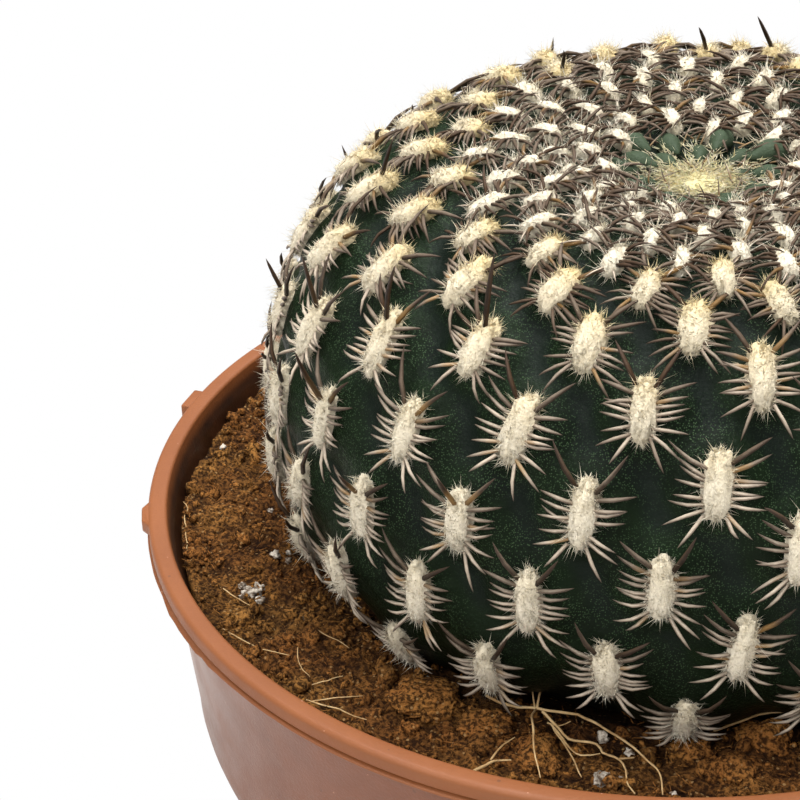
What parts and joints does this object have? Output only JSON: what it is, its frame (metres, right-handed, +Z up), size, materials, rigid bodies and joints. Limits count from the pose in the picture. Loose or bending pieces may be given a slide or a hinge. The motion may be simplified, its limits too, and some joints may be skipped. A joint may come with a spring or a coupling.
{
  "type": "potted round cactus",
  "caption": "Round cactus with woolly areoles and comb-like spines, growing in coir in a shallow plastic pot.",
  "frame": {"origin": "middle of the pot's underside, on the surface it stands on", "axes": "+Z up the pot's axis; -Y towards the side seen at the front; the plant's axis is 4.5 mm from the pot's along +X"},
  "size_m": [0.1304, 0.1304, 0.1034],
  "materials": {
    "pot_plastic": "moulded terracotta-coloured plastic, satin",
    "coir": "crumbly brown coir, matt",
    "cactus_skin": "dark green waxy skin with tiny pale specks, satin",
    "areole_wool": "short cream wool, matt",
    "spine": "horny grey-brown spines, satin",
    "root_fibre": "dry pale root fibre, matt",
    "perlite": "white porous grains, matt"
  },
  "bodies": {
    "root": {"pot": "pot_plastic", "soil": "coir", "cactus": "cactus_skin", "root_fibre_1": "root_fibre", "root_fibre_2": "root_fibre", "root_fibre_3": "root_fibre", "root_fibre_4": "root_fibre", "root_fibre_5": "root_fibre", "root_fibre_6": "root_fibre"}
  },
  "joints": []
}
